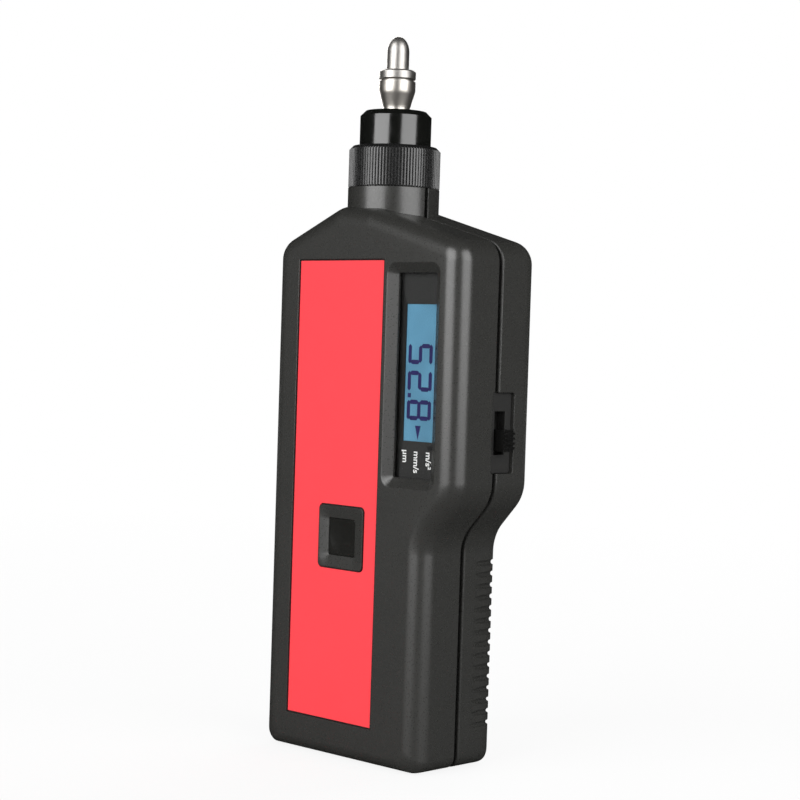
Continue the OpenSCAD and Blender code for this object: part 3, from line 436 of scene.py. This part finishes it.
strip_rubber = moulded("strip_rubber", paint(*stripe_light), 0.6, 0.3 * mm, 0.01 * mm)
strip_nodes, strip_join = strip_rubber.node_tree.nodes, strip_rubber.node_tree.links.new
strip_spot = strip_nodes.new("ShaderNodeTexCoord")
strip_bands = strip_nodes.new("ShaderNodeTexWave")
strip_bands.bands_direction = "X"
strip_bands.inputs["Scale"].default_value = 1 / stripe_width
strip_join(strip_spot.outputs["Object"], strip_bands.inputs["Vector"])
strip_join(tinted(strip_nodes, paint(*stripe_light), paint(*stripe_dark), strip_bands.outputs["Fac"]),
           strip_nodes["Principled BSDF"].inputs["Base Color"])
even_shading(finish("lcd_contact_strips", strip_rubber))

pane = bpy.data.materials.new("window_pane")
pane.use_nodes = True
pane_nodes, pane_join = pane.node_tree.nodes, pane.node_tree.links.new
pane_nodes.remove(pane_nodes["Principled BSDF"])
see_through = pane_nodes.new("ShaderNodeBsdfTransparent")
see_through.inputs["Color"].default_value = pane_tint
sheen = pane_nodes.new("ShaderNodeBsdfGlossy")
sheen.inputs["Roughness"].default_value = pane_polish
edge_on = pane_nodes.new("ShaderNodeFresnel")
edge_on.inputs["IOR"].default_value = acrylic_ior
pane_side = pane_nodes.new("ShaderNodeNewGeometry")
outer_face = pane_nodes.new("ShaderNodeMath")
outer_face.operation = "SUBTRACT"
outer_face.use_clamp = True
clear = pane_nodes.new("ShaderNodeMixShader")
pane_join(edge_on.outputs[0], outer_face.inputs[0])
pane_join(pane_side.outputs["Backfacing"], outer_face.inputs[1])
pane_join(outer_face.outputs[0], clear.inputs[0])
pane_join(see_through.outputs[0], clear.inputs[1])
pane_join(sheen.outputs[0], clear.inputs[2])
pane_join(clear.outputs[0], pane_nodes["Material Output"].inputs["Surface"])
finish("display_window", pane)

# Display segments
# The cell darkens in thin bars behind its glass. They show 52.8, turned so that it
# reads down the case, and a pointer at the middle one of the three units.
digit_tops_z = (106.4, 99.7, 92.5)
digit_low_x, digit_high_x = 18.3, 26.5
digit_wide = 5.1
bar = 1.1
bar_gap = 0.2
point_corner = (18.45, 94.1)
pointer_base = ((21.3, 86.1), (23.2, 86.1))
pointer_tip = (22.3, 82.6)
bar_back_y, bar_front_y = -11.552, -11.585
lit_bars = {"5": "afgcd", "2": "abged", "8": "abcdefg"}


def digit_bars(figure, top_z):
    """The (x, z) outlines of one figure's lit bars. Its foot is at low x, and it reads down z."""
    middle = (digit_low_x + digit_high_x) / 2
    half = bar / 2
    rows = {"a": digit_high_x - half, "g": middle, "d": digit_low_x + half}
    outlines = []
    for lit in lit_bars[figure]:
        if lit in rows:
            x, short = rows[lit], bar_gap + (half if lit == "g" else 0)
            first, last = half + short / 2, digit_wide - half - short / 2
            outlines.append([(x, first - half), (x + half, first), (x + half, last),
                             (x, last + half), (x - half, last), (x - half, first)])
        else:
            side = half if lit in "fe" else digit_wide - half
            low, high = (middle, digit_high_x - half) if lit in "fb" else (digit_low_x + half, middle)
            low, high = low + bar_gap, high - bar_gap
            outlines.append([(low, side), (low + half, side - half), (high - half, side - half),
                             (high, side), (high - half, side + half), (low + half, side + half)])
    return [[(x, top_z - along) for x, along in outline] for outline in outlines]


def thin_plates(name, outlines, back_y, front_y):
    """Flat plates with those (x, z) outlines, in millimetres, as one mesh."""
    mesh, work = bpy.data.meshes.new(name), bmesh.new()
    for outline in outlines:
        near = [work.verts.new(Vector((x, front_y, z)) * mm) for x, z in outline]
        far = [work.verts.new(Vector((x, back_y, z)) * mm) for x, z in outline]
        work.faces.new(near)
        work.faces.new(far[::-1])
        for i in range(len(outline)):
            j = (i + 1) % len(outline)
            work.faces.new((near[i], far[i], far[j], near[j]))
    bmesh.ops.recalc_face_normals(work, faces=work.faces)
    work.to_mesh(mesh)
    work.free()
    plates = bpy.data.objects.new(name, mesh)
    bpy.context.scene.collection.objects.link(plates)
    return plates


dark_bars = []
for figure, top_z in zip("528", digit_tops_z):
    dark_bars += digit_bars(figure, top_z)
px, pz = point_corner
dark_bars.append([(px, pz), (px + bar, pz), (px + bar, pz - bar), (px, pz - bar)])
dark_bars.append([*pointer_base, pointer_tip])
segments = thin_plates("display_segments", dark_bars, bar_back_y, bar_front_y)
segment_ink = moulded("segment_ink", paint(*segment_navy), 0.4, 0.2 * mm, 0.001 * mm, edge=0)
segments.data.materials.append(segment_ink)
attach(segments, "case")

# Unit marks
# The three units of vibration are printed in white on the back of the window's pane,
# below the cell, and read down the case as the figures do.
mark_y = -11.752
mark_high = 1.8
mark_thick = 0.004 * mm
stroke_swell = 0.05 * mm
capital_share = 0.72
mark_white = (232, 232, 230)
marks = {"mark_displacement": ("µm", 17.6, 80.05), "mark_velocity": ("mm/s", 21.4, 79.8),
         "mark_acceleration": ("m/s²", 25.5, 79.8)}
mark_ink = moulded("mark_ink", paint(*mark_white), 0.6, 0.1 * mm, 0.001 * mm, edge=0, mottle=0.01)
for name, (words, low_x, top_z) in marks.items():
    lettering = bpy.data.curves.new(name, "FONT")
    lettering.body = words
    lettering.size = mark_high / capital_share * mm
    lettering.offset = stroke_swell
    lettering.extrude = mark_thick
    lettering.resolution_u = 6
    lettering.materials.append(mark_ink)
    mark = bpy.data.objects.new(name, lettering)
    reads_down = Matrix(((0, 1, 0), (0, 0, -1), (-1, 0, 0))).to_4x4()
    mark.matrix_world = Matrix.Translation(Vector((low_x, mark_y, top_z)) * mm) @ reads_down
    bpy.context.scene.collection.objects.link(mark)
    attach(mark, "case")

# Measure key
# A glossy black ABS button with a dished top, guided in its frame. It stands on
# the plunger of a tact switch that is soldered to the board.
key_black = (26, 26, 24)
switch_black = (30, 30, 31)
plunger_ivory = (214, 208, 190)

key_plastic = moulded("key_plastic", paint(*key_black), 0.2, 0.5 * mm, 0.002 * mm, edge=0.2 * mm,
                      mottle=0.02)
even_shading(finish("measure_key", key_plastic))
black_nylon = moulded("black_nylon", paint(*switch_black), 0.5, 0.2 * mm, 0.006 * mm)
even_shading(finish("tact_switch", black_nylon))
plunger_nylon = moulded("plunger_nylon", paint(*plunger_ivory), 0.4, 0.3 * mm, 0.004 * mm)
even_shading(finish("tact_plunger", plunger_nylon))

# Function switch
# A slide switch in a folded tinned can, soldered to the board. Its ribbed black nylon
# knob comes out through the slot of the plate.
knob_black = (11, 11, 10)
tin_grey = (196, 198, 200)

knob_nylon = moulded("knob_nylon", paint(*knob_black), 0.32, 0.2 * mm, 0.003 * mm, edge=0.06 * mm)
even_shading(finish("function_knob", knob_nylon))
tin_plate = turned("tin_plate", paint(*tin_grey), 0.32, 0.4 * mm)
even_shading(finish("function_switch", tin_plate))

# Board and its parts
# A green glass-epoxy board carries a converter chip, an amplifier chip, two
# capacitors in printed sleeves and a trimmer. Three tinned screws hold it.
bare_green, covered_green, track_green = (22, 84, 53), (27, 98, 62), (52, 138, 92)
track_pitch = 24 * mm
track_thick, track_long, track_apart = 0.012, 0.31, 0.11
chip_black = (34, 34, 36)
sleeve_blue = (30, 44, 96)
trimmer_blue = (30, 92, 176)

solder_mask = moulded("solder_mask", paint(*bare_green), 0.28, 0.4 * mm, 0.004 * mm, edge=0.08 * mm,
                      specular=0.6)
mask_nodes, mask_join = solder_mask.node_tree.nodes, solder_mask.node_tree.links.new
mask_spot = mask_nodes.new("ShaderNodeTexCoord")
tracks = mask_nodes.new("ShaderNodeTexBrick")
tracks.inputs["Color1"].default_value = paint(*bare_green)
tracks.inputs["Color2"].default_value = paint(*covered_green)
tracks.inputs["Mortar"].default_value = paint(*track_green)
tracks.inputs["Scale"].default_value = 1 / track_pitch
tracks.inputs["Mortar Size"].default_value = track_thick
tracks.inputs["Brick Width"].default_value = track_long
tracks.inputs["Row Height"].default_value = track_apart
lay_flat = mask_nodes.new("ShaderNodeMapping")
lay_flat.inputs["Rotation"].default_value = (math.pi / 2, 0, 0)
mask_join(mask_spot.outputs["Object"], lay_flat.inputs["Vector"])
mask_join(lay_flat.outputs["Vector"], tracks.inputs["Vector"])
mask_join(tracks.outputs["Color"], mask_nodes["Principled BSDF"].inputs["Base Color"])
even_shading(finish("main_board", solder_mask))
chip_resin = moulded("chip_resin", paint(*chip_black), 0.6, 0.12 * mm, 0.006 * mm, edge=0.06 * mm)
for chip in ("converter_chip", "amplifier_chip"):
    even_shading(finish(chip, chip_resin))
capacitor_sleeve = moulded("capacitor_sleeve", paint(*sleeve_blue), 0.3, 0.6 * mm, 0.003 * mm)
even_shading(finish("capacitors", capacitor_sleeve))
trimmer_plastic = moulded("trimmer_plastic", paint(*trimmer_blue), 0.4, 0.3 * mm, 0.005 * mm)
even_shading(finish("trimmer", trimmer_plastic))
even_shading(finish("board_screws", tin_plate))

# Battery
# A nine volt block in a plain lacquered steel jacket, on a foam pad. A vinyl snap
# strap with two pressed studs clips on its end, and two leads run to the board.
jacket_grey, jacket_copper = (46, 50, 58), (186, 122, 66)
copper_from = 38.5 * mm
snap_black = (28, 28, 30)
wire_red, wire_black = (176, 30, 28), (26, 26, 28)
foam_grey = (58, 58, 60)

jacket = turned("battery_jacket", paint(*jacket_grey), 0.34, 0.5 * mm, edge=0.3 * mm, metallic=0.6)
jacket_nodes, jacket_join = jacket.node_tree.nodes, jacket.node_tree.links.new
jacket_spot = jacket_nodes.new("ShaderNodeTexCoord")
jacket_axes = jacket_nodes.new("ShaderNodeSeparateXYZ")
band = jacket_nodes.new("ShaderNodeMath")
band.operation = "GREATER_THAN"
band.inputs[1].default_value = copper_from
jacket_join(jacket_spot.outputs["Object"], jacket_axes.inputs[0])
jacket_join(jacket_axes.outputs["Z"], band.inputs[0])
jacket_join(tinted(jacket_nodes, paint(*jacket_copper), paint(*jacket_grey), band.outputs[0]),
            jacket_nodes["Principled BSDF"].inputs["Base Color"])
even_shading(finish("battery", jacket))
snap_vinyl = moulded("snap_vinyl", paint(*snap_black), 0.5, 0.3 * mm, 0.01 * mm, edge=0.3 * mm)
even_shading(finish("battery_snap", snap_vinyl))
even_shading(finish("sensor_lead", snap_vinyl), 60)

lead_red = moulded("lead_red", paint(*wire_red), 0.42, 0.4 * mm, 0.004 * mm, edge=0)
lead_black = moulded("lead_black", paint(*wire_black), 0.42, 0.4 * mm, 0.004 * mm, edge=0)
leads = finish("battery_leads", lead_red)
leads.data.materials.append(lead_black)
for polygon in leads.data.polygons:
    polygon.material_index = int(polygon.center.x < 0)
even_shading(leads, 60)

foam = moulded("foam", paint(*foam_grey), 0.95, 0.5 * mm, 0.25 * mm, edge=0, mottle=0.2, specular=0.1)
even_shading(finish("battery_pad", foam))

# Battery door
# The lower back of the rear half slides down off two runners. It is moulded in the
# same charcoal ABS.
even_shading(finish("battery_door", case_plastic))

# Vibration sensor
# A black anodised aluminium cap holds a stack of two ceramic discs and a tungsten
# weight, drawn together by a bolt through the stainless stem, and a plug closes it.
housing_black = (14, 15, 13)
stem_steel = (205, 200, 193)
ceramic_tan = (208, 190, 150)
tungsten_grey = (120, 120, 124)
plug_black = (30, 30, 31)

gloss_black = moulded("anodised_black", paint(*housing_black), 0.16, 0.6 * mm, 0.0015 * mm,
                      edge=0.15 * mm, mottle=0.02, specular=0.9)
even_shading(finish("sensor_housing", gloss_black), 25)
stainless = turned("stainless", paint(*stem_steel), 0.36, 0.12 * mm, edge=0.08 * mm)
for steel in ("sensor_stem", "preload_bolt"):
    even_shading(finish(steel, stainless), 25)
ceramic = moulded("ceramic", paint(*ceramic_tan), 0.55, 0.1 * mm, 0.004 * mm)
even_shading(finish("piezo_discs", ceramic))
even_shading(finish("seismic_mass", turned("tungsten", paint(*tungsten_grey), 0.4, 0.2 * mm)))
cap_plug = moulded("cap_plug", paint(*plug_black), 0.5, 0.2 * mm, 0.006 * mm)
even_shading(finish("sensor_end_cap", cap_plug))

# Retaining ring
# A knurled aluminium nut, matt anodised, that screws over the neck and clamps the
# sensor's flange on a nitrile O-ring.
ring_black = (21, 21, 21)
rubber_black = (24, 24, 24)

anodised = moulded("anodised_satin", paint(*ring_black), 0.28, 0.15 * mm, 0.002 * mm, edge=0.03 * mm,
                   mottle=0.03, specular=0.9)
even_shading(finish("retaining_ring", anodised), 25)
even_shading(finish("clamp_o_ring", moulded("nitrile", paint(*rubber_black), 0.6, 0.3 * mm, 0.01 * mm)))

# Probe tip
# A stainless tip with a domed nose and a collar, screwed onto the stem's end with
# a thin washer between them.
tip_steel = (180, 177, 173)

brushed_tip = turned("brushed_tip", paint(*tip_steel), 0.4, 0.12 * mm, edge=0.05 * mm)
for steel in ("probe_tip", "tip_washer"):
    even_shading(finish(steel, brushed_tip), 25)
